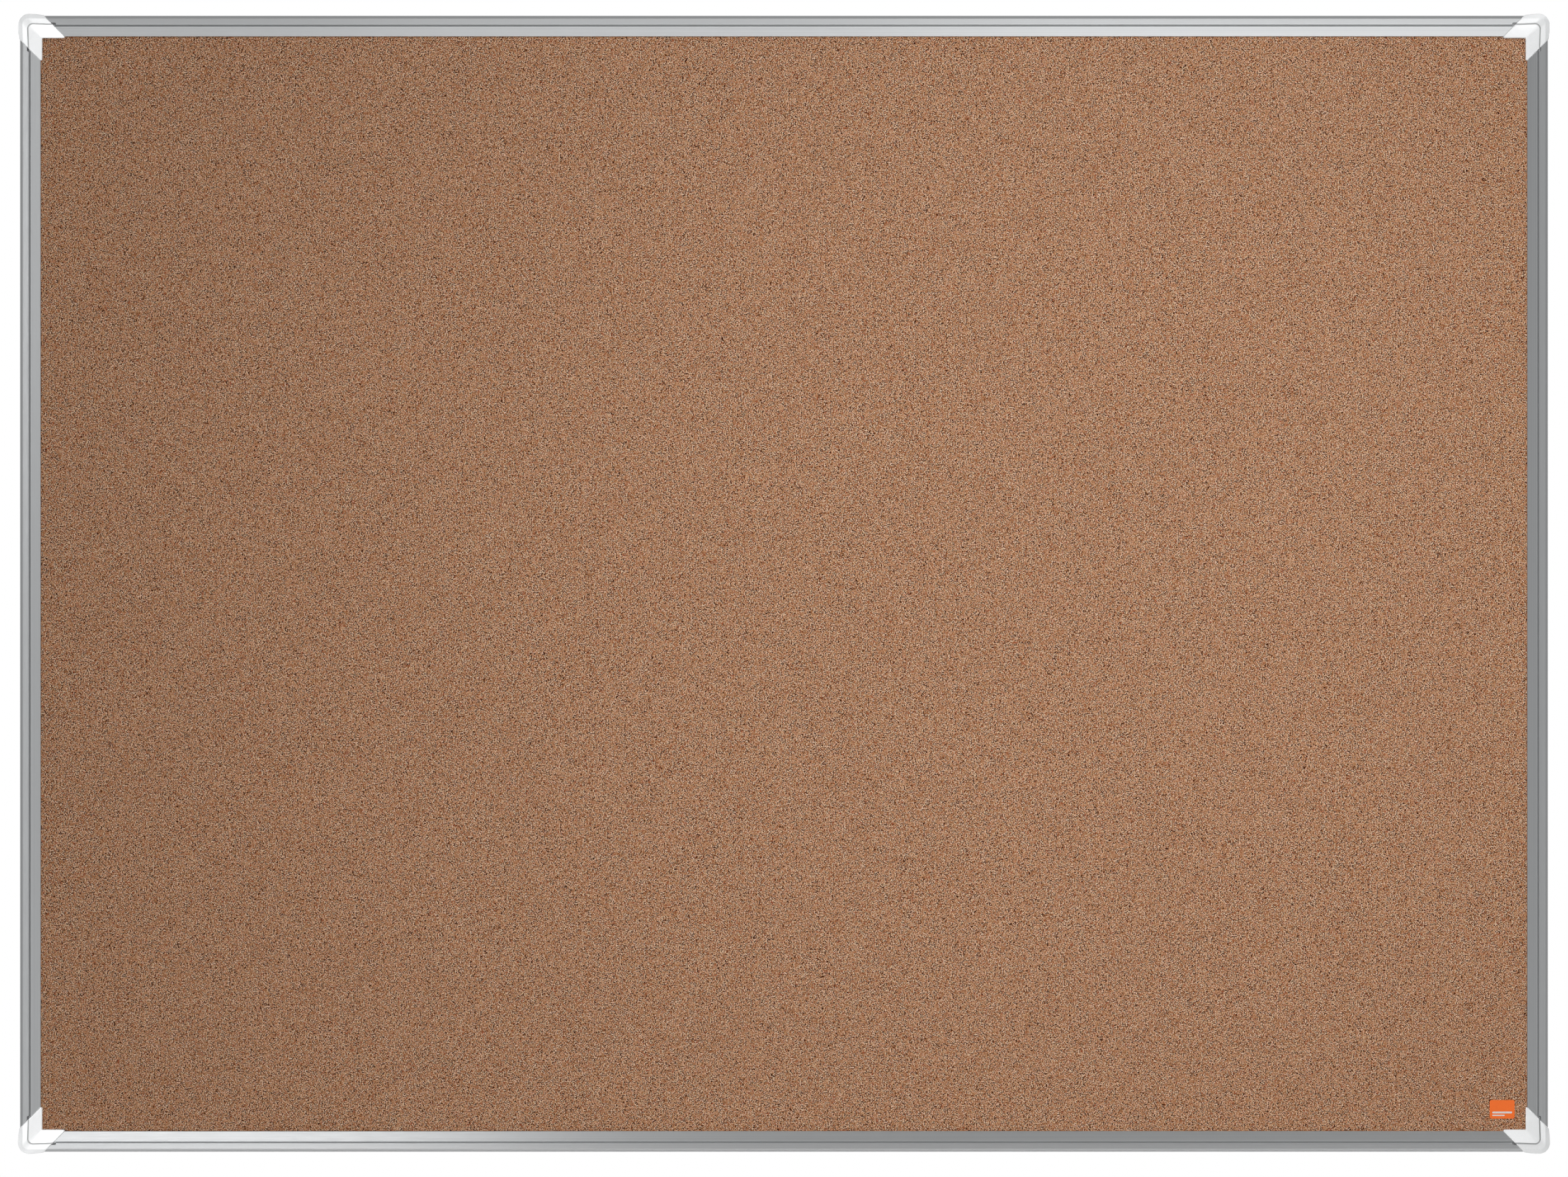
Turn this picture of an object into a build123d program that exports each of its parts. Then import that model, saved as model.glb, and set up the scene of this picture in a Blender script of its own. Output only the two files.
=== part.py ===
from build123d import *
import os

os.makedirs("parts", exist_ok=True)

# Cork bulletin board in an aluminium frame with pull-off corner caps, in millimetres.
# It hangs on a wall at Y = 0 and faces -Y, with +Z up and +X to the viewer's right. The origin is the centre
# of the four wall-screw holes. Depth d runs forward from the wall. In a rail, u runs inward from the frame's
# outer side; in a corner, a and b run inward along the two rails from the frame's outer corner.

# Whole board, over the rails
board_w = 1204.0
board_h = 895.0

# Rail section, as corners (u, d) with the radius that rounds each
rail_depth = 13.5
back_wall = 1.2
channel_front = 11.8
web_outer_u = 7.3
web_inner_u = 8.7
rail_outline = [
    ((0.0, 0.0), 0.4),
    ((0.0, 11.3), 0.8),
    ((2.4, 13.1), 0.8),
    ((6.9, rail_depth), 0.9),
    ((8.1, 12.3), 0.3),
    ((8.8, 12.3), 0.0),
    ((8.8, rail_depth - 0.05), 0.15),
    ((16.4, 13.05), 0.45),
    ((16.4, channel_front), 0.2),
    ((web_inner_u, channel_front), 0.0),
    ((web_inner_u, back_wall), 0.0),
    ((15.0, back_wall), 0.2),
    ((15.0, 0.0), 0.3),
]
chamber_outline = [
    (1.2, back_wall),
    (1.2, 10.7),
    (2.6, 11.9),
    (web_outer_u, 11.9),
    (web_outer_u, back_wall),
]
rail_end = 18.0  # from the frame's corner to the square end of a rail

# Slot in the rail's face that a cap's tongue goes through
slot_start = 20.5
slot_end = 28.5
slot_width = 2.5
slot_u = 6.8
slot_depth = 1.75

# Panel layers, by the depth of their back faces
panel_edge_u = 8.9
panel_corner_cut = 9.0
backing_d = 1.3
core_d = 1.7
cork_d = 8.7
cork_front_d = 11.7

# Corner bracket
bracket_depth = 12.6
bracket_outline = [
    ((0.3, 0.3), 6.7),
    ((17.7, 0.3), 1.6),
    ((17.7, 8.7), 1.6),
    ((8.7, 17.7), 1.6),
    ((0.3, 17.7), 1.6),
]
bracket_chamfer = 1.1
arm_start = 16.0
arm_end = 52.0
arm_front_d = 11.75
arm_outline = [(1.35, 1.35), (1.35, 10.6), (2.65, arm_front_d), (7.15, arm_front_d), (7.15, 1.35)]
arm_tip_chamfer = 1.2
arm_pockets = [(38.0, 7.0), (46.5, 6.0)]  # middle and length along the arm
arm_pocket_width = 2.8
arm_pocket_r = 0.7
arm_pocket_depth = 7.0
tongue_notch_d = 6.5
tongue_notch_length = 3.6
tongue_notch_u = (5.4, 7.2)

# Wall-screw hole through each bracket
wall_hole_at = 8.8
wall_hole_r = 2.6
wall_floor = 3.0
wall_head_r = 4.8

# Rail screws, countersunk into the back of the rails
screw_a = 30.0
screw_u = 4.25
screw_head_r = 2.5
screw_shank_r = 1.45
screw_length = 9.5
screw_tip = 2.5
screw_recess = (2.6, 0.6, 0.8)  # length, width and depth of one bar of the cross
countersink_angle = 90.0
countersink_clearance = 0.15
screw_hole_depth = 2.0
pilot_r = 1.25
pilot_d = 10.5

# Corner cap
cap_back_d = 0.3
cap_rim_d = 12.5  # where the upright sides turn in to a sloping rim
cap_edge_d = 14.7  # the rim's inner border, and the lip over the panel
cap_ridge_d = 15.7
cap_end_line = 19.0  # the cap's ends lie along a - b = 19 and b - a = 19
cap_side = (-1.5, -0.5)  # distance inward of the upright side, at the corner and at the cap's end
cap_border = (2.2, 2.4)  # the same for the rim's inner border
cap_corner_centre = 7.0
cap_inner = 17.75
cap_inner_r = 0.5
cap_rim_r = 1.0
cap_border_r = 0.6
cap_tip_r = 1.0
cap_soft_r = 0.8
cap_end_tolerance = 0.1
ridge_centre = 10.7
ridge_spread = 0.55  # how far the ridge and groove drift inward between the corner and the cap's end
ridge_band = (5.8, 7.3)
groove_band = (5.95, 7.15)
groove_depth = 0.9
hollow_clearance = 0.1
hollow_inner = 16.5
hollow_ceiling_d = 13.6
hollow_chamfer = 2.2
hollow_reach = 40.0
tongue_middle = 23.0
tongue_length = 2.8
tongue_u = (5.65, 7.05)
tongue_tip_d = 7.5
tongue_tip_chamfer = 0.4
tongue_root = 0.3

# Label stuck to the cork
label_size = (19.6, 14.6)
label_at = (565.9, -414.0)
label_thickness = 0.3
label_corner_r = 1.5

# The rails' section planes: local x is u, local y is d and the rail runs along local z
rails = {
    "rail_bottom": (
        Plane(origin=(rail_end - board_w / 2, 0, -board_h / 2), x_dir=(0, 0, 1), z_dir=(1, 0, 0)),
        board_w - 2 * rail_end,
    ),
    "rail_top": (
        Plane(origin=(board_w / 2 - rail_end, 0, board_h / 2), x_dir=(0, 0, -1), z_dir=(-1, 0, 0)),
        board_w - 2 * rail_end,
    ),
    "rail_left": (
        Plane(origin=(-board_w / 2, 0, board_h / 2 - rail_end), x_dir=(1, 0, 0), z_dir=(0, 0, -1)),
        board_h - 2 * rail_end,
    ),
    "rail_right": (
        Plane(origin=(board_w / 2, 0, rail_end - board_h / 2), x_dir=(-1, 0, 0), z_dir=(0, 0, 1)),
        board_h - 2 * rail_end,
    ),
}

# The bottom left corner is modelled, and the others mirror it about these planes
corners = {
    "bottom_left": [],
    "bottom_right": [Plane.YZ],
    "top_left": [Plane.XY],
    "top_right": [Plane.YZ, Plane.XY],
}


def corner_plane(d):
    """Plane at depth d with the bottom left corner as its origin: local x is a and local y is b."""
    return Plane(origin=(-board_w / 2, -d, -board_h / 2), x_dir=(1, 0, 0), z_dir=(0, -1, 0))


corner_diagonal = Plane(origin=corner_plane(0).origin, z_dir=(1, 0, -1))


def rounded_outline(plane, corner_list):
    """Sketch of a closed outline, given as corners with a radius each."""
    with BuildSketch(plane) as outline:
        with BuildLine():
            FilletPolyline(*[corner for corner, r in corner_list], radius=[r for corner, r in corner_list],
                           close=True)
        make_face()
    return outline.sketch


def sharp_outline(plane, corner_list):
    """Sketch of a closed outline with sharp corners."""
    with BuildSketch(plane) as outline:
        with BuildLine():
            Polyline(*corner_list, close=True)
        make_face()
    return outline.sketch


def cap_plan(plane, outer_side):
    """Plan of a corner cap, with slanting ends. Its outer side is at one distance inward at the rounded corner,
    and drifts to another at the ends."""
    corner_b, end_b = outer_side
    corner = cap_corner_centre
    corner_middle = corner - (corner - corner_b) / 2**0.5
    end = cap_end_line + end_b
    tip = cap_end_line + cap_inner
    bend = cap_inner + cap_inner_r
    bend_middle = bend - cap_inner_r / 2**0.5
    with BuildSketch(plane) as plan:
        with BuildLine():
            TangentArc((corner, corner_b), (end, end_b), tangent=(1, 0))
            ThreePointArc((corner, corner_b), (corner_middle, corner_middle), (corner_b, corner))
            TangentArc((corner_b, corner), (end_b, end), tangent=(0, 1))
            Line((end_b, end), (cap_inner, tip))
            Line((cap_inner, tip), (cap_inner, bend))
            ThreePointArc((cap_inner, bend), (bend_middle, bend_middle), (bend, cap_inner))
            Line((bend, cap_inner), (tip, cap_inner))
            Line((tip, cap_inner), (end, end_b))
        make_face()
    return plan.sketch


def ridge_plan(plane, band):
    """Plan of a band that follows the cap's ridge round the corner, between two distances inward."""
    outer, inner = band
    outer_end = outer + ridge_spread
    inner_end = inner + ridge_spread
    outer_middle = ridge_centre - (ridge_centre - outer) / 2**0.5
    inner_middle = ridge_centre - (ridge_centre - inner) / 2**0.5
    with BuildSketch(plane) as plan:
        with BuildLine():
            Line((ridge_centre, outer), (cap_end_line + outer_end, outer_end))
            ThreePointArc((ridge_centre, outer), (outer_middle, outer_middle), (outer, ridge_centre))
            Line((outer, ridge_centre), (outer_end, cap_end_line + outer_end))
            Line((outer_end, cap_end_line + outer_end), (inner_end, cap_end_line + inner_end))
            Line((inner_end, cap_end_line + inner_end), (inner, ridge_centre))
            ThreePointArc((inner, ridge_centre), (inner_middle, inner_middle), (ridge_centre, inner))
            Line((ridge_centre, inner), (cap_end_line + inner_end, inner_end))
            Line((cap_end_line + inner_end, inner_end), (cap_end_line + outer_end, outer_end))
        make_face()
    return plan.sketch


def on_cap_end_or_lip(edge):
    """True for the cap's front edges along its slanting ends and along its lip over the panel."""
    middle = edge.center() - corner_plane(0).origin
    a, b, d = middle.X, middle.Z, -middle.Y
    on_end = abs(abs(a - b) - cap_end_line) < cap_end_tolerance and d > cap_rim_d - cap_rim_r
    on_lip = min(a, b) > cap_inner - cap_tip_r and d > cap_edge_d - cap_soft_r
    return on_end or on_lip


def panel_outline(d):
    """Plan of the panel, with its corners cut off to clear the corner brackets."""
    with BuildSketch(Plane.XZ.offset(d)) as outline:
        Rectangle(board_w - 2 * panel_edge_u, board_h - 2 * panel_edge_u)
        chamfer(outline.vertices(), length=panel_corner_cut)
    return outline.sketch


# Panel: three layers, one behind the other
with BuildPart() as backing_sheet:
    extrude(panel_outline(backing_d), amount=core_d - backing_d)
backing_sheet.part.label = "backing_sheet"
export_step(backing_sheet.part, "parts/backing_sheet.step")

with BuildPart() as softboard_core:
    extrude(panel_outline(core_d), amount=cork_d - core_d)
softboard_core.part.label = "softboard_core"
export_step(softboard_core.part, "parts/softboard_core.step")

with BuildPart() as cork_sheet:
    extrude(panel_outline(cork_d), amount=cork_front_d - cork_d)
cork_sheet.part.label = "cork_sheet"
export_step(cork_sheet.part, "parts/cork_sheet.step")

# Rails: one extrusion cut to two lengths, with a slot and a screw hole near each end
for rail_name, (section_plane, rail_length) in rails.items():
    front_origin = section_plane.from_local_coords((slot_u, rail_depth, 0))
    front_plane = Plane(origin=front_origin, x_dir=section_plane.z_dir, z_dir=section_plane.y_dir)
    back_origin = section_plane.from_local_coords((screw_u, 0, 0))
    back_plane = Plane(origin=back_origin, x_dir=section_plane.z_dir, z_dir=-section_plane.y_dir)
    slot_middle = (slot_start + slot_end) / 2 - rail_end
    screw_place = screw_a - rail_end
    with BuildPart() as rail:
        extrude(rounded_outline(section_plane, rail_outline), amount=rail_length)
        extrude(sharp_outline(section_plane, chamber_outline), amount=rail_length, mode=Mode.SUBTRACT)
        with BuildSketch(front_plane):
            with Locations((slot_middle, 0), (rail_length - slot_middle, 0)):
                SlotOverall(slot_end - slot_start, slot_width)
        extrude(amount=-slot_depth, mode=Mode.SUBTRACT)
        with Locations(back_plane):
            with Locations((screw_place, 0), (rail_length - screw_place, 0)):
                CounterSinkHole(
                    radius=screw_shank_r + countersink_clearance,
                    counter_sink_radius=screw_head_r + countersink_clearance,
                    depth=screw_hole_depth,
                    counter_sink_angle=countersink_angle,
                )
    rail.part.label = rail_name
    export_step(rail.part, f"parts/{rail_name}.step")

# Corner bracket at the bottom left: one arm is made with the body, and the diagonal mirrors it
arm_plane = Plane(origin=(arm_start - board_w / 2, 0, -board_h / 2), x_dir=(0, 0, 1), z_dir=(1, 0, 0))
with BuildPart() as bracket:
    extrude(rounded_outline(corner_plane(0), bracket_outline), amount=bracket_depth)
    chamfer(bracket.faces().sort_by(Axis.Y)[0].edges(), length=bracket_chamfer)
    extrude(sharp_outline(arm_plane, arm_outline), amount=arm_end - arm_start)
    chamfer(bracket.faces().sort_by(Axis.X)[-1].edges(), length=arm_tip_chamfer)
    with BuildSketch(corner_plane(arm_front_d)):
        with Locations((tongue_middle, sum(tongue_notch_u) / 2)):
            Rectangle(tongue_notch_length, tongue_notch_u[1] - tongue_notch_u[0])
    extrude(amount=tongue_notch_d - arm_front_d, mode=Mode.SUBTRACT)
    with BuildSketch(corner_plane(0)):
        for pocket_middle, pocket_length in arm_pockets:
            with Locations((pocket_middle, screw_u)):
                RectangleRounded(pocket_length, arm_pocket_width, arm_pocket_r)
    extrude(amount=arm_pocket_depth, mode=Mode.SUBTRACT)
    with BuildSketch(corner_plane(0)):
        with Locations((screw_a, screw_u)):
            Circle(pilot_r)
    extrude(amount=pilot_d, mode=Mode.SUBTRACT)
    mirror(bracket.part, about=corner_diagonal)
    with BuildSketch(corner_plane(0)):
        with Locations((wall_hole_at, wall_hole_at)):
            Circle(wall_hole_r)
    extrude(amount=bracket_depth, mode=Mode.SUBTRACT)
    with BuildSketch(corner_plane(wall_floor)):
        with Locations((wall_hole_at, wall_hole_at)):
            Circle(wall_head_r)
    extrude(amount=bracket_depth, mode=Mode.SUBTRACT)

# Rail screw, pointing forward from the back of the frame
with BuildPart() as screw:
    with BuildSketch(Plane.XY):
        with BuildLine():
            Polyline(
                (0, 0),
                (screw_head_r, 0),
                (screw_shank_r, screw_shank_r - screw_head_r),
                (screw_shank_r, screw_tip - screw_length),
                (0, -screw_length),
                close=True,
            )
        make_face()
    revolve(axis=Axis.Y)
    recess_length, recess_width, recess_depth = screw_recess
    with BuildSketch(Plane.XZ):
        Rectangle(recess_length, recess_width)
        Rectangle(recess_width, recess_length)
    extrude(amount=recess_depth, mode=Mode.SUBTRACT)

screw_x_and_z = [
    (board_w / 2 - screw_a, board_h / 2 - screw_u),
    (board_w / 2 - screw_u, board_h / 2 - screw_a),
]
screw_places = [(x * right, 0, z * up) for x, z in screw_x_and_z for right in (-1, 1) for up in (-1, 1)]
with BuildPart() as rail_screws:
    with Locations(*screw_places):
        add(screw.part)
rail_screws.part.label = "rail_screws"
export_step(rail_screws.part, "parts/rail_screws.step")

# Hollow of the corner cap: a high L over the rails, and a lower space over the panel
hollow_corner = ((-hollow_clearance, -hollow_clearance), cap_corner_centre + hollow_clearance)
hollow_high_outline = [
    hollow_corner,
    ((hollow_reach, -hollow_clearance), 0.0),
    ((hollow_reach, hollow_inner), 0.0),
    ((hollow_inner, hollow_inner), 0.0),
    ((hollow_inner, hollow_reach), 0.0),
    ((-hollow_clearance, hollow_reach), 0.0),
]
hollow_low_outline = [
    hollow_corner,
    ((hollow_reach, -hollow_clearance), 0.0),
    ((hollow_reach, hollow_reach), 0.0),
    ((-hollow_clearance, hollow_reach), 0.0),
]
with BuildPart() as cap_hollow:
    extrude(rounded_outline(corner_plane(0), hollow_high_outline), amount=hollow_ceiling_d)
    ceiling_edges = cap_hollow.faces().sort_by(Axis.Y)[0].edges()
    side_edges = ceiling_edges.group_by(Axis.X)[0] + ceiling_edges.group_by(Axis.Z)[0]
    chamfer(side_edges + ceiling_edges.filter_by(GeomType.CIRCLE), length=hollow_chamfer)
    extrude(rounded_outline(corner_plane(0), hollow_low_outline), amount=channel_front)

# Tongue of the corner cap: it goes through the slot in the rail and into the bracket's arm
with BuildPart() as tongue:
    with BuildSketch(corner_plane(tongue_tip_d)):
        with Locations((tongue_middle, sum(tongue_u) / 2)):
            Rectangle(tongue_length, tongue_u[1] - tongue_u[0])
    extrude(amount=hollow_ceiling_d + tongue_root - tongue_tip_d)
    chamfer(tongue.faces().sort_by(Axis.Y)[-1].edges(), length=tongue_tip_chamfer)
    mirror(about=corner_diagonal)

# Corner cap at the bottom left: upright sides, a sloping rim, then slopes up to a ridge with a groove along it
with BuildPart() as cap:
    extrude(cap_plan(corner_plane(cap_back_d), cap_side), amount=cap_rim_d - cap_back_d)
    rim_plan = cap_plan(corner_plane(cap_rim_d), cap_side)
    border_plan = cap_plan(corner_plane(cap_edge_d), cap_border)
    loft([rim_plan, border_plan], ruled=True)
    loft([border_plan, ridge_plan(corner_plane(cap_ridge_d), ridge_band)], ruled=True)
    upright_edges = cap.edges().filter_by(Axis.Y)
    fillet([upright_edges.sort_by(Axis.X)[-1], upright_edges.sort_by(Axis.Z)[-1]], radius=cap_tip_r)
    arcs = cap.edges().filter_by(GeomType.CIRCLE)
    fillet(arcs.filter_by_position(Axis.Y, -cap_rim_d, -cap_rim_d), radius=cap_rim_r)
    border_arcs = arcs.filter_by_position(Axis.Y, -cap_edge_d, -cap_edge_d)
    fillet([arc for arc in border_arcs if arc.radius > cap_inner_r], radius=cap_border_r)
    fillet([edge for edge in cap.edges() if on_cap_end_or_lip(edge)], radius=cap_soft_r)
    extrude(ridge_plan(corner_plane(cap_ridge_d), groove_band), amount=-groove_depth, mode=Mode.SUBTRACT)
    add(cap_hollow.part, mode=Mode.SUBTRACT)
    add(tongue.part)

# The bracket and the cap at each of the four corners
for corner_name, mirror_planes in corners.items():
    for kind, piece in (("corner_bracket", bracket.part), ("corner_cap", cap.part)):
        for mirror_plane in mirror_planes:
            piece = mirror(piece, about=mirror_plane)
        with BuildPart() as corner_piece:
            add(piece)
        corner_piece.part.label = f"{kind}_{corner_name}"
        export_step(corner_piece.part, f"parts/{kind}_{corner_name}.step")

# Label stuck to the cork at the lower right
with BuildPart() as label:
    with BuildSketch(Plane.XZ.offset(cork_front_d)):
        with Locations(label_at):
            RectangleRounded(*label_size, label_corner_r)
    extrude(amount=label_thickness)
label.part.label = "label"
export_step(label.part, "parts/label.step")
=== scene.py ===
"""Cork bulletin board: materials, label print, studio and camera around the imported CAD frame."""
from math import cos, radians, sin

import bpy
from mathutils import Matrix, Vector


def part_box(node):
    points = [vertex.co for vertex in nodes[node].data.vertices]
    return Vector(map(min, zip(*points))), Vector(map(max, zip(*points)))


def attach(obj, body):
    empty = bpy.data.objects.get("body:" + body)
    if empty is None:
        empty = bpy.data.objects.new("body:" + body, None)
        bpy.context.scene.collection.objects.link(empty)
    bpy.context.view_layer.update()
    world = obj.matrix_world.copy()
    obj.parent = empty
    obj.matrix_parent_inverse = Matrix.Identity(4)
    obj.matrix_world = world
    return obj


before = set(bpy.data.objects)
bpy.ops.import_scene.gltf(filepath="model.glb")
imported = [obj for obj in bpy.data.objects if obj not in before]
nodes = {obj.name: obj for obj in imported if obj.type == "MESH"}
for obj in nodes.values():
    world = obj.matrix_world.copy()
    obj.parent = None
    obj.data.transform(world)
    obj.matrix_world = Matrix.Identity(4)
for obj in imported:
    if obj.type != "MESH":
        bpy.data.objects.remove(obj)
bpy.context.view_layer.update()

# View: the photograph's frame is VIEW_WIDTH wide at the board, and the board sits a little above its middle
VIEW_WIDTH = 1.2352
VIEW_DROP = 0.0037
SENSOR_MM = 36.0
LENS_MM = 150.0


# ---------------------------------------------------------------- node helpers

def srgb(red, green, blue):
    """Linear colour, with alpha, of an sRGB colour given as 0 to 255."""
    linear = [
        part / 255 / 12.92 if part <= 10 else ((part / 255 + 0.055) / 1.055) ** 2.4
        for part in (red, green, blue)
    ]
    return (*linear, 1.0)


def new_material(name):
    """A material with its node tree and its Principled node."""
    material = bpy.data.materials.new(name)
    material.use_nodes = True
    return material, material.node_tree, material.node_tree.nodes["Principled BSDF"]


def add(tree, kind, inputs=None, **settings):
    """Adds a node. In inputs a socket is linked and anything else is set as the value."""
    made = tree.nodes.new("ShaderNode" + kind)
    for name, value in settings.items():
        setattr(made, name, value)
    for key, value in (inputs or {}).items():
        if isinstance(value, bpy.types.NodeSocket):
            tree.links.new(value, made.inputs[key])
        else:
            made.inputs[key].default_value = value
    return made


def math_node(tree, operation, *values):
    """Output of a Math node."""
    return add(tree, "Math", dict(enumerate(values)), operation=operation).outputs[0]


def object_place(tree, scale=(1, 1, 1)):
    """Place in the object, in metres, stretched by scale."""
    place = add(tree, "TexCoord").outputs["Object"]
    return add(tree, "VectorMath", {0: place, 1: scale}, operation="MULTIPLY").outputs[0]


def noise(tree, place, scale, detail=3.0, roughness=0.5):
    """Grey value of a noise texture, about 0.5."""
    inputs = {"Vector": place, "Scale": scale, "Detail": detail, "Roughness": roughness}
    return add(tree, "TexNoise", inputs).outputs["Fac"]


def cells(tree, place, scale):
    """Distance from the middle of a flat Voronoi cell, and three random values of that cell."""
    inputs = {"Vector": place, "Scale": scale, "Randomness": 0.85}
    cell = add(tree, "TexVoronoi", inputs, voronoi_dimensions="2D")
    split = add(tree, "SeparateColor", {"Color": cell.outputs["Color"]})
    return (cell.outputs["Distance"], *split.outputs)


def spread(tree, value, low, high, new_low=0.0, new_high=1.0):
    """Maps low..high to new_low..new_high, clamped."""
    inputs = {"Value": value, "From Min": low, "From Max": high, "To Min": new_low, "To Max": new_high}
    return add(tree, "MapRange", inputs).outputs["Result"]


def ramp(tree, value, stops, interpolation="LINEAR"):
    """Colour of a ramp with stops (position, colour)."""
    made = add(tree, "ValToRGB", {"Fac": value})
    made.color_ramp.interpolation = interpolation
    elements = made.color_ramp.elements
    while len(elements) < len(stops):
        elements.new(0.5)
    for element, (position, colour) in zip(elements, stops):
        element.position = position
        element.color = colour
    return made.outputs["Color"]


def mix(tree, factor, first, second, blend="MIX"):
    """Colour mix of two sockets or colours."""
    made = add(tree, "Mix", {0: factor, 6: first, 7: second}, data_type="RGBA", blend_type=blend)
    return made.outputs[2]


def bump(tree, height, strength, distance):
    """Normal of a bump."""
    inputs = {"Height": height, "Strength": strength, "Distance": distance}
    return add(tree, "Bump", inputs).outputs["Normal"]


def band(tree, value, low, high, soft):
    """1 where value is between low and high, 0 outside, with soft borders."""
    above = spread(tree, value, low - soft, low)
    below = spread(tree, value, high, high + soft, 1.0, 0.0)
    return math_node(tree, "MULTIPLY", above, below)


def inset(tree, radius):
    """Distance inward from the frame's outer sides, going round its corners with this radius."""
    centre = (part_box("rail_right")[1].x - radius, 0.0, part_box("rail_top")[1].z - radius)
    place = add(tree, "VectorMath", {0: object_place(tree)}, operation="ABSOLUTE").outputs[0]
    place = add(tree, "VectorMath", {0: place, 1: centre}, operation="SUBTRACT").outputs[0]
    place = add(tree, "VectorMath", {0: place, 1: (0, 0, 0)}, operation="MAXIMUM").outputs[0]
    place = add(tree, "VectorMath", {0: place, 1: (1, 0, 1)}, operation="MULTIPLY").outputs[0]
    reach = add(tree, "VectorMath", {0: place}, operation="LENGTH").outputs["Value"]
    return math_node(tree, "SUBTRACT", radius, reach)


# ---------------------------------------------------------------- materials

def cork_material():
    """Fine granulated cork: brown grains with small dark pores, pale crumbs and a few reddish flecks."""
    material, tree, shader = new_material("granulated_cork")
    place = object_place(tree)
    wobble = add(tree, "TexNoise", {"Vector": place, "Scale": 2600.0, "Detail": 2.0}).outputs["Color"]
    shift = add(tree, "VectorMath", {0: wobble, 1: (0.5, 0.5, 0.5)}, operation="SUBTRACT").outputs[0]
    shift = add(tree, "VectorMath", {0: shift, "Scale": 0.0004}, operation="SCALE").outputs[0]
    ragged = add(tree, "VectorMath", {0: place, 1: shift}).outputs[0]
    split = add(tree, "SeparateXYZ", {"Vector": ragged})
    on_sheet = add(tree, "CombineXYZ", {"X": split.outputs["X"], "Y": split.outputs["Z"]}).outputs[0]
    beside = add(tree, "VectorMath", {0: on_sheet, 1: (0.37, 0.21, 0.0)}).outputs[0]

    _, grain_tone, grain_hue, grain_rise = cells(tree, on_sheet, 2500.0)
    pore_distance, pore_pick, _, _ = cells(tree, on_sheet, 1000.0)
    crumb_distance, crumb_pick, red_pick, pit_pick = cells(tree, beside, 1000.0)
    pore = math_node(
        tree, "MULTIPLY", spread(tree, pore_distance, 0.20, 0.6, 1.0, -0.6), spread(tree, pore_pick, 0.60, 1.0)
    )
    crumb = math_node(
        tree, "MULTIPLY", spread(tree, crumb_distance, 0.20, 0.6, 1.0, -0.6), spread(tree, crumb_pick, 0.75, 1.0)
    )
    tone = spread(tree, grain_tone, 0.0, 1.0, 0.31, 0.79)
    tone = math_node(tree, "ADD", tone, math_node(tree, "MULTIPLY", crumb, 0.9))
    tone = math_node(tree, "SUBTRACT", tone, math_node(tree, "MULTIPLY", pore, 2.9))
    pit = math_node(
        tree, "MULTIPLY", spread(tree, crumb_distance, 0.40, 0.60, 1.0, 0.0), spread(tree, pit_pick, 0.955, 0.985)
    )
    tone = math_node(tree, "SUBTRACT", tone, pit)
    colour = ramp(tree, tone, [
        (0.06, srgb(52, 12, 0)), (0.24, srgb(94, 40, 10)), (0.34, srgb(122, 66, 30)),
        (0.44, srgb(152, 97, 61)), (0.51, srgb(170, 115, 76)), (0.57, srgb(183, 128, 89)),
        (0.63, srgb(195, 144, 106)), (0.70, srgb(207, 161, 126)), (0.82, srgb(234, 201, 172)),
    ])
    hue = ramp(tree, grain_hue, [(0.0, (1.09, 0.96, 0.98, 1)), (1.0, (0.91, 1.04, 1.02, 1))])
    warmth = ramp(tree, grain_rise, [(0.0, (1.0, 1.02, 0.88, 1)), (1.0, (1.0, 0.98, 1.12, 1))])
    colour = mix(tree, 1.0, mix(tree, 1.0, colour, hue, "MULTIPLY"), warmth, "MULTIPLY")
    colour = mix(tree, spread(tree, red_pick, 0.96, 1.0), colour, srgb(158, 82, 50))

    patches = noise(tree, place, 22.0, 4.0)
    colour = mix(tree, 1.0, colour, spread(tree, patches, 0.3, 0.7, 0.993, 1.007), "MULTIPLY")
    tree.links.new(colour, shader.inputs["Base Color"])

    height = math_node(tree, "SUBTRACT", grain_rise, math_node(tree, "MULTIPLY", pore, 2.0))
    tree.links.new(bump(tree, height, 0.5, 0.0002), shader.inputs["Normal"])
    tree.links.new(spread(tree, crumb_pick, 0.0, 1.0, 0.78, 0.92), shader.inputs["Roughness"])
    shader.inputs["Specular IOR Level"].default_value = 0.1
    return material


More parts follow.
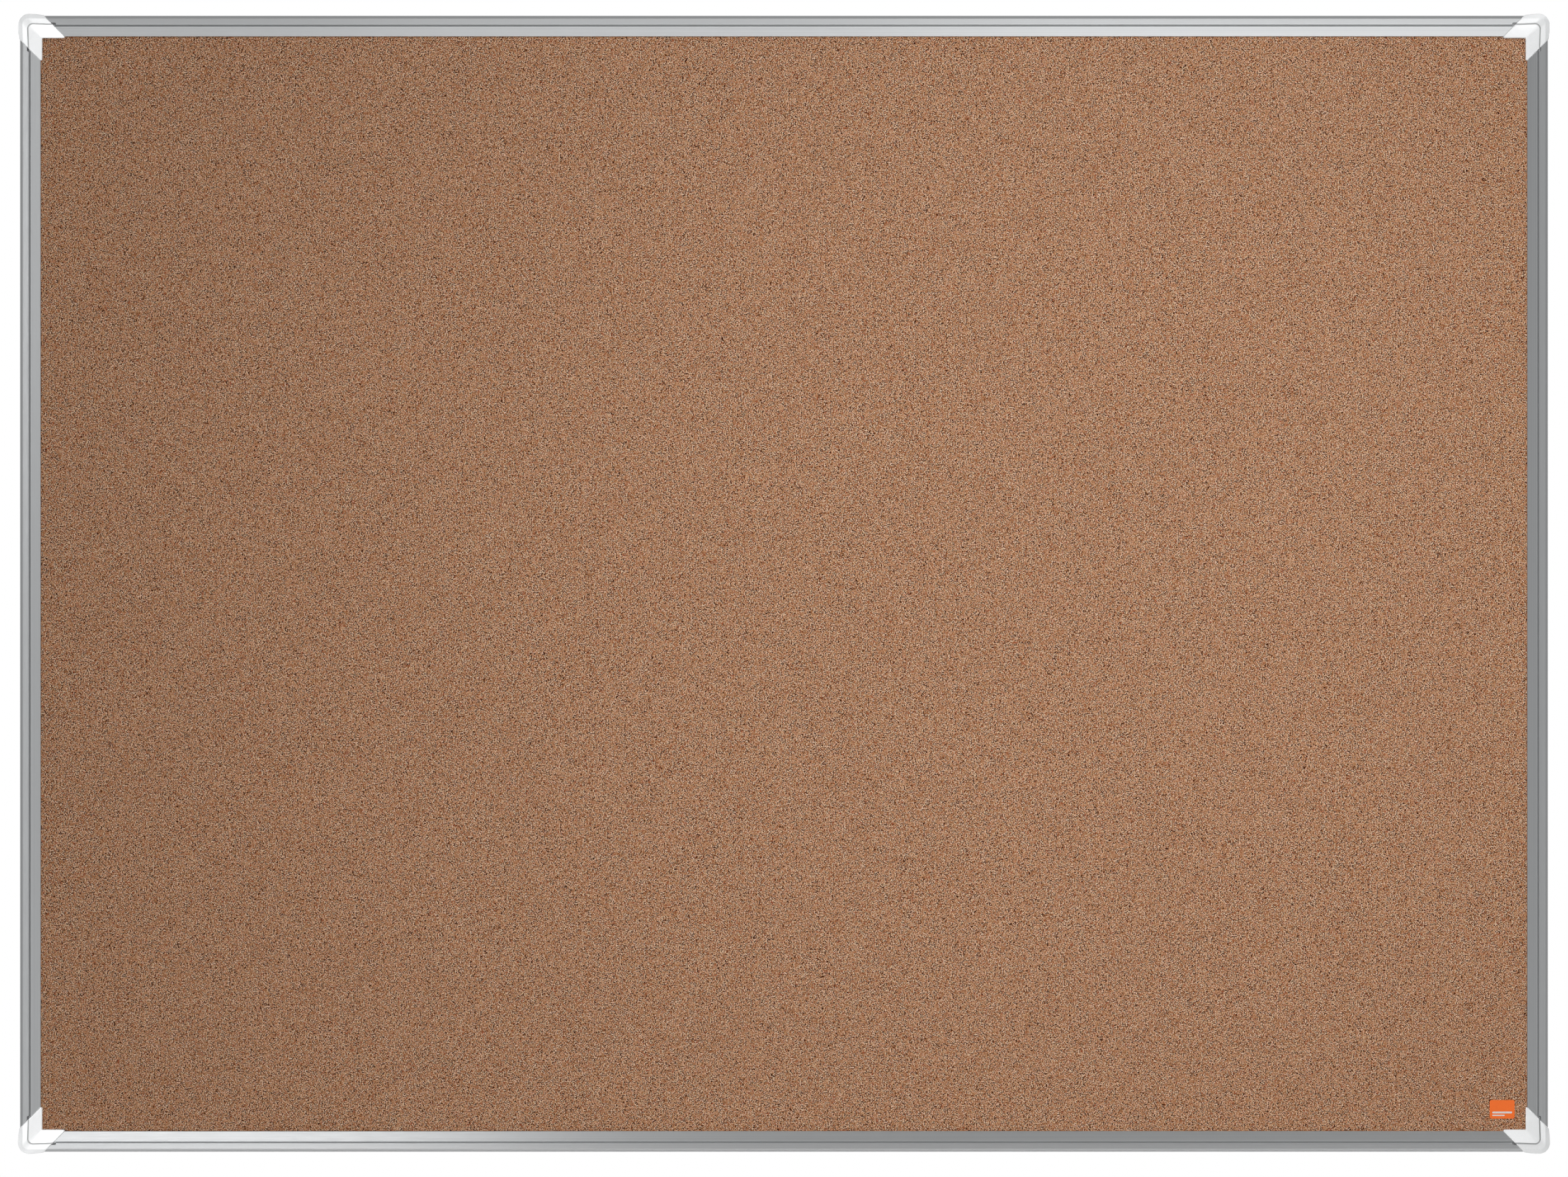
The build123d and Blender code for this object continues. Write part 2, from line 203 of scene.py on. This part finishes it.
def aluminium_material(name, along, across, painted_shade_low_side, painted_shade_high_side):
    """Satin anodised aluminium with fine streaks along the extrusion, which spread its highlights across it.

    The groove is darkened with painted shade, which differs between the rail on the low side of the across axis and
    the one on its high side. The outer chamfer is darkened a little with painted shade, and thin bands along the
    arrises are lightened with painted highlights.
    """
    material, tree, shader = new_material(name)
    streak_place = object_place(tree, tuple(1.2 if axis == along else 2600.0 for axis in "XYZ"))
    grain_place = object_place(tree, tuple(60.0 if axis == along else 5200.0 for axis in "XYZ"))
    streaks = noise(tree, streak_place, 1.0, 3.0, 0.6)
    grain = noise(tree, grain_place, 1.0, 2.0)
    tone = ramp(tree, streaks, [(0.3, (0.60, 0.613, 0.623, 1)), (0.7, (0.69, 0.70, 0.705, 1))])
    in_from_side = inset(tree, 0.02)
    groove = band(tree, in_from_side, 0.0079, 0.0087, 0.0002)
    where = add(tree, "SeparateXYZ", {"Vector": object_place(tree)}).outputs[across]
    # Painted shade: the groove is darkened, by a different amount on the rail at each end of the across axis.
    groove_painted_shade = spread(tree, where, -0.1, 0.1, painted_shade_low_side, painted_shade_high_side)
    tone = mix(tree, 1.0, tone, mix(tree, groove, (1, 1, 1, 1), groove_painted_shade), "MULTIPLY")
    # Painted shade: the outer chamfer is darkened to 0.88.
    tone = mix(tree, 1.0, tone, spread(tree, in_from_side, 0.0008, 0.0026, 0.88, 1.0), "MULTIPLY")
    # Painted highlights: thin bands along the arrises are lightened by up to 1.14.
    arrises = [band(tree, in_from_side, low, low + 0.0003, 0.0001) for low in (0.0023, 0.0067, 0.0089, 0.0160)]
    arris_painted_highlight = arrises[0]
    for arris in arrises[1:]:
        arris_painted_highlight = math_node(tree, "MAXIMUM", arris_painted_highlight, arris)
    tone = mix(tree, 1.0, tone, spread(tree, arris_painted_highlight, 0.0, 1.0, 1.0, 1.14), "MULTIPLY")
    tree.links.new(tone, shader.inputs["Base Color"])
    tree.links.new(spread(tree, grain, 0.3, 0.7, 0.34, 0.44), shader.inputs["Roughness"])
    tree.links.new(bump(tree, streaks, 0.10, 0.00006), shader.inputs["Normal"])
    direction = add(tree, "CombineXYZ", {"X": float(along == "X"), "Z": float(along == "Z")})
    tree.links.new(direction.outputs[0], shader.inputs["Tangent"])
    shader.inputs["Metallic"].default_value = 1.0
    shader.inputs["Anisotropic"].default_value = 0.6
    shader.inputs["Anisotropic Rotation"].default_value = 0.25
    return material


def plastic_material(name, pale, dark, roughness, grain_scale, grain_strength):
    """Moulded plastic with a fine spark-eroded grain, a faint flow variation and a few dull smudges."""
    material, tree, shader = new_material(name)
    place = object_place(tree)
    flow = noise(tree, place, 60.0, 2.0)
    grain = noise(tree, place, grain_scale, 3.0, 0.6)
    tree.links.new(ramp(tree, flow, [(0.3, dark), (0.7, pale)]), shader.inputs["Base Color"])
    smudges = spread(tree, noise(tree, place, 45.0, 3.0), 0.5, 0.7, 0.0, 0.07)
    dullness = math_node(tree, "ADD", spread(tree, grain, 0.3, 0.7, roughness - 0.05, roughness + 0.05), smudges)
    tree.links.new(dullness, shader.inputs["Roughness"])
    tree.links.new(bump(tree, grain, grain_strength, 0.00008), shader.inputs["Normal"])
    return material


def cap_material():
    """The caps' pale plastic, with painted shade darkening the groove and the crest of the ridge rubbed smoother.
    """
    material = plastic_material(
        "pale_plastic", (0.80, 0.81, 0.815, 1), (0.775, 0.785, 0.79, 1), 0.27, 2500.0, 0.06
    )
    tree = material.node_tree
    base = tree.nodes["Principled BSDF"].inputs["Base Color"]
    depth = add(tree, "SeparateXYZ", {"Vector": object_place(tree)}).outputs["Y"]
    below_ridge = spread(tree, depth, -0.0153, -0.0150)
    groove = math_node(tree, "MULTIPLY", band(tree, inset(tree, 0.0107), 0.0059, 0.0077, 0.0002), below_ridge)
    # Painted shade: the groove below the ridge is darkened to 0.55 of the plastic's colour.
    cap_groove_painted_shade = mix(tree, 1.0, base.links[0].from_socket, spread(tree, groove, 0.0, 1.0, 1.0, 0.55), "MULTIPLY")
    tree.links.new(cap_groove_painted_shade, base)
    roughness = tree.nodes["Principled BSDF"].inputs["Roughness"]
    rubbed = math_node(
        tree, "MULTIPLY", spread(tree, depth, -0.0157, -0.0153, 1.0, 0.0),
        spread(tree, noise(tree, object_place(tree), 120.0, 3.0), 0.4, 0.6, 0.02, 0.07)
    )
    tree.links.new(math_node(tree, "SUBTRACT", roughness.links[0].from_socket, rubbed), roughness)
    return material


def galvanised_material():
    """Thin galvanised steel sheet with a faint spangle and rolling streaks."""
    material, tree, shader = new_material("galvanised_sheet")
    place = object_place(tree)
    bent = add(tree, "TexNoise", {"Vector": place, "Scale": 160.0, "Detail": 3.0}).outputs["Color"]
    bent = add(tree, "VectorMath", {0: bent, "Scale": 0.007}, operation="SCALE").outputs[0]
    bent = add(tree, "VectorMath", {0: place, 1: bent}).outputs[0]
    flakes = add(tree, "TexVoronoi", {"Vector": bent, "Scale": 170.0})
    flake = add(tree, "SeparateColor", {"Color": flakes.outputs["Color"]}).outputs[0]
    rolled = noise(tree, object_place(tree, (1.5, 1.0, 420.0)), 1.0, 3.0)
    tone = math_node(tree, "ADD", math_node(tree, "MULTIPLY", flake, 0.6), math_node(tree, "MULTIPLY", rolled, 0.4))
    colour = ramp(tree, tone, [(0.15, (0.49, 0.508, 0.518, 1)), (0.85, (0.60, 0.615, 0.625, 1))])
    tree.links.new(colour, shader.inputs["Base Color"])
    tree.links.new(spread(tree, flake, 0.0, 1.0, 0.42, 0.58), shader.inputs["Roughness"])
    tree.links.new(bump(tree, rolled, 0.08, 0.0001), shader.inputs["Normal"])
    shader.inputs["Metallic"].default_value = 0.85
    return material


def softboard_material():
    """Pressed wood-fibre board."""
    material, tree, shader = new_material("fibre_board")
    fibres = noise(tree, object_place(tree, (300.0, 1800.0, 900.0)), 1.0, 4.0, 0.65)
    colour = ramp(tree, fibres, [(0.3, srgb(128, 104, 74)), (0.7, srgb(186, 160, 120))])
    tree.links.new(colour, shader.inputs["Base Color"])
    tree.links.new(bump(tree, fibres, 0.6, 0.0003), shader.inputs["Normal"])
    shader.inputs["Roughness"].default_value = 0.95
    return material


def screw_material():
    """Bright zinc plate with the slight yellow and blue cast of its passivation."""
    material, tree, shader = new_material("zinc_plate")
    place = object_place(tree)
    cast = noise(tree, place, 400.0, 2.0)
    scuffs = noise(tree, place, 5000.0, 3.0)
    colour = ramp(tree, cast, [(0.35, (0.66, 0.68, 0.71, 1)), (0.65, (0.74, 0.71, 0.60, 1))])
    tree.links.new(colour, shader.inputs["Base Color"])
    tree.links.new(spread(tree, scuffs, 0.3, 0.7, 0.22, 0.38), shader.inputs["Roughness"])
    tree.links.new(bump(tree, scuffs, 0.1, 0.00005), shader.inputs["Normal"])
    shader.inputs["Metallic"].default_value = 1.0
    return material


def vinyl_material(name, colour, paler):
    """Printed vinyl with a slightly uneven ink and a soft gloss."""
    material, tree, shader = new_material(name)
    place = object_place(tree)
    ink = noise(tree, place, 900.0, 2.0)
    peel = noise(tree, place, 2600.0, 2.0)
    tree.links.new(ramp(tree, ink, [(0.3, colour), (0.7, paler)]), shader.inputs["Base Color"])
    tree.links.new(spread(tree, peel, 0.3, 0.7, 0.34, 0.46), shader.inputs["Roughness"])
    tree.links.new(bump(tree, peel, 0.12, 0.00004), shader.inputs["Normal"])
    return material


def put_on(node_name, material):
    """Gives a CAD node its material."""
    mesh_slots = nodes[node_name].material_slots
    for slot in mesh_slots:
        slot.material = material


# The last two numbers set how dark the painted groove shade is on the rail at the low and at the high end of the
# across axis.
aluminium_across = aluminium_material("satin_aluminium_across", "X", "Z", 1.0, 0.70)
aluminium_upright = aluminium_material("satin_aluminium_upright", "Z", "X", 0.78, 1.0)
cap_plastic = cap_material()
bracket_plastic = plastic_material(
    "grey_plastic", (0.50, 0.505, 0.515, 1), (0.45, 0.455, 0.465, 1), 0.5, 1800.0, 0.25
)
put_on("cork_sheet", cork_material())
put_on("softboard_core", softboard_material())
put_on("backing_sheet", galvanised_material())
put_on("rail_screws", screw_material())
put_on("label", vinyl_material("orange_vinyl", srgb(254, 112, 24), srgb(255, 117, 30)))
for end in ("top", "bottom"):
    put_on(f"rail_{end}", aluminium_across)
for side in ("left", "right"):
    put_on(f"rail_{side}", aluminium_upright)
corners = ("bottom_left", "bottom_right", "top_left", "top_right")
for corner in corners:
    put_on(f"corner_cap_{corner}", cap_plastic)
    put_on(f"corner_bracket_{corner}", bracket_plastic)


# ---------------------------------------------------------------- label print

def rounded_bar(left, right, low, high, steps=8):
    """Outline, as (x, z), of a bar with round ends."""
    radius = (high - low) / 2
    ends = ((right - radius, -90), (left + radius, 90))
    return [
        (centre + radius * cos(radians(start + 180 * step / steps)),
         low + radius + radius * sin(radians(start + 180 * step / steps)))
        for centre, start in ends for step in range(steps + 1)
    ]


def print_on_label(bars, proud, sunk):
    """Plain printed bars on the label, each given as fractions (left, right, low, high) of its size."""
    label_low, label_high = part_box("label")
    size = label_high - label_low
    points = []
    faces = []
    for left, right, low, high in bars:
        outline = rounded_bar(
            label_low.x + left * size.x, label_low.x + right * size.x,
            label_low.z + low * size.z, label_low.z + high * size.z,
        )
        count = len(outline)
        first = len(points)
        points += [(x, label_low.y - proud, z) for x, z in outline]
        points += [(x, label_low.y + sunk, z) for x, z in outline]
        front = [first + index for index in range(count)]
        back = [index + count for index in front]
        faces.append(front)
        faces.append(back[::-1])
        for here, there in zip(range(count), [*range(1, count), 0]):
            faces.append([front[there], front[here], back[here], back[there]])
    mesh = bpy.data.meshes.new("label_print")
    mesh.from_pydata(points, [], faces)
    mesh.materials.append(vinyl_material("pale_ink", srgb(226, 214, 206), srgb(236, 226, 220)))
    printed = bpy.data.objects.new("label_print", mesh)
    bpy.context.scene.collection.objects.link(printed)
    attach(printed, "board")
    return printed


label_print = print_on_label([(0.10, 0.90, 0.28, 0.38), (0.10, 0.60, 0.14, 0.21)], 0.00003, 0.00005)


# ---------------------------------------------------------------- studio

def aim(thing, target):
    """Turns an object's -Z towards a point."""
    thing.rotation_euler = (Vector(target) - thing.location).to_track_quat("-Z", "Y").to_euler()


def place_light(name, light, place, target, only):
    """Puts a light that the camera doesn't see at a place. With only, it lights just those objects."""
    lamp = bpy.data.objects.new(name, light)
    bpy.context.scene.collection.objects.link(lamp)
    lamp.location = place
    aim(lamp, target)
    lamp.visible_camera = False
    if only:
        receivers = bpy.data.collections.new(f"{name}_receivers")
        for receiver in only:
            receivers.objects.link(receiver)
        lamp.light_linking.receiver_collection = receivers
    return lamp


def soft_box(name, place, target, width, height, power, only=()):
    """A rectangular area light."""
    light = bpy.data.lights.new(name, "AREA")
    light.shape = "RECTANGLE"
    light.size = width
    light.size_y = height
    light.energy = power
    return place_light(name, light, place, target, only)


def spot(name, place, target, cone, blend, radius, power, only=()):
    """A soft spot light."""
    light = bpy.data.lights.new(name, "SPOT")
    light.energy = power
    light.spot_size = radians(cone)
    light.spot_blend = blend
    light.shadow_soft_size = radius
    return place_light(name, light, place, target, only)


def build_world(ahead, around, background):
    """Soft light all round, dimmer from straight ahead of the board, with a white background for the camera."""
    world = bpy.data.worlds.new("studio")
    bpy.context.scene.world = world
    world.use_nodes = True
    tree = world.node_tree
    output = tree.nodes["World Output"]
    surround = tree.nodes["Background"]
    facing = add(tree, "SeparateXYZ", {"Vector": add(tree, "TexCoord").outputs["Generated"]}).outputs["Y"]
    grey = spread(tree, facing, -0.95, -0.6, ahead, around)
    tree.links.new(grey, surround.inputs["Color"])
    backdrop = add(tree, "Background", {"Color": (background, background, background, 1)})
    seen = add(tree, "LightPath").outputs["Is Camera Ray"]
    blend = add(tree, "MixShader", {0: seen, 1: surround.outputs[0], 2: backdrop.outputs[0]})
    tree.links.new(blend.outputs[0], output.inputs["Surface"])


def build_floor(height, radius):
    """Pale round floor, well below the hanging board, that fades out towards its rim."""
    bpy.ops.mesh.primitive_circle_add(vertices=128, radius=radius, fill_type="NGON", location=(0, 0, height))
    floor = bpy.context.object
    floor.name = "studio_floor"
    material, tree, shader = new_material("studio_floor")
    shader.inputs["Base Color"].default_value = (0.60, 0.60, 0.60, 1)
    shader.inputs["Roughness"].default_value = 0.7
    reach = add(tree, "VectorMath", {0: object_place(tree)}, operation="LENGTH").outputs["Value"]
    tree.links.new(spread(tree, reach, 0.35 * radius, 0.95 * radius, 1.0, 0.0), shader.inputs["Alpha"])
    floor.data.materials.append(material)
    return floor


def build_camera():
    """Level camera in front of the board, square to it."""
    data = bpy.data.cameras.new("camera")
    data.lens = LENS_MM
    data.sensor_width = SENSOR_MM
    camera = bpy.data.objects.new("camera", data)
    bpy.context.scene.collection.objects.link(camera)
    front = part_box("rail_bottom")[0].y
    camera.location = (0, front - VIEW_WIDTH * LENS_MM / SENSOR_MM, -VIEW_DROP)
    aim(camera, (0, 0, -VIEW_DROP))
    bpy.context.scene.camera = camera


build_camera()
build_world(0.32, 0.42, 1.0)
floor = build_floor(-0.85, 3.0)
caps = [nodes[f"corner_cap_{corner}"] for corner in corners]
rails = [nodes[f"rail_{side}"] for side in ("top", "bottom", "left", "right")]
board_face = [node for node in nodes.values() if node not in caps + rails] + [label_print, floor]
all_but_rails = board_face + caps
soft_box("key_left", (-2.2, -2.6, 2.4), (0, 0, 0), 1.8, 1.8, 21, board_face)
soft_box("key_right", (2.2, -2.6, 2.4), (0, 0, 0), 1.8, 1.8, 23, board_face)
spot("key_spot", (1.1, -3.4, 1.1), (0.24, 0, 0.04), 28, 0.9, 0.4, 208, board_face)
soft_box("cap_front", (-1.2, -2.9, 0.2), (0, 0, 0), 2.4, 2.4, 45, caps)
soft_box("cap_fill_left", (-2.6, -1.2, 0.0), (0, 0, 0), 1.4, 1.4, 6, caps)
soft_box("cap_fill_above", (1.2, -1.0, 2.4), (0.3, 0, 0.2), 1.4, 1.4, 20, caps)
below = soft_box("cap_fill_below", (-0.9, -1.0, -2.4), (-0.2, 0, -0.2), 1.4, 1.4, 8, caps)
below.light_linking.blocker_collection = below.light_linking.receiver_collection
soft_box("cap_fill_right", (2.6, -1.4, 0.0), (0, 0, 0), 1.4, 1.4, 6, caps)
for glint in (
    soft_box("cap_glint_left", (-0.95, -3.0, 0.0), (-0.6, 0, 0), 0.5, 0.5, 25, caps),
    soft_box("cap_glint_right", (0.95, -3.0, 0.3), (0.6, 0, 0.4), 0.5, 0.4, 18, caps),
    soft_box("cap_glint_above", (0.0, -3.0, 2.6), (0, 0, 0.4), 2.4, 0.9, 60, caps),
    soft_box("cap_glint_below", (-0.2, -0.5, -0.78), (-0.2, 0, -0.44), 1.3, 0.15, 7, caps),
    soft_box("cap_glint_side", (-2.9, -3.0, 0.0), (-0.6, 0, 0), 0.9, 1.8, 50, caps),
    soft_box("cap_glint_far_side", (2.9, -3.0, 0.0), (0.6, 0, 0), 0.9, 1.8, 30, caps),
):
    glint.visible_diffuse = False
soft_box("floor_wash", (0.0, -0.4, 3.2), (0, -0.4, -0.85), 3.0, 3.0, 36, [floor])
soft_box("back_left", (-2.4, 2.6, 1.4), (0, 0, 0), 1.8, 1.8, 50, all_but_rails)
soft_box("back_right", (2.4, 2.6, 1.4), (0, 0, 0), 1.8, 1.8, 50, all_but_rails)
soft_box("glow_top", (0.0, -0.9, 0.44), (0.0, 0, 0.44), 2.4, 0.25, 1.85, [nodes["rail_top"]])
soft_box("glow_top_right", (0.6, -0.9, 0.42), (0.6, 0, 0.42), 1.6, 0.25, 4.7, [nodes["rail_top"]])
soft_box("glow_bottom", (-0.83, -0.9, -0.46), (-0.7, 0, -0.44), 1.1, 0.25, 2.6, [nodes["rail_bottom"]])
soft_box("glow_left", (-0.82, -0.9, 0.0), (-0.65, 0, 0.0), 0.25, 1.4, 1.05, [nodes["rail_left"]])
soft_box("glow_left_top", (-0.84, -0.9, 0.45), (-0.65, 0, 0.45), 0.25, 0.7, 0.35, [nodes["rail_left"]])
soft_box("glow_right", (0.88, -0.9, 0.0), (0.7, 0, 0.0), 0.25, 1.4, 0.4, [nodes["rail_right"]])
bpy.context.scene.view_settings.view_transform = "Standard"
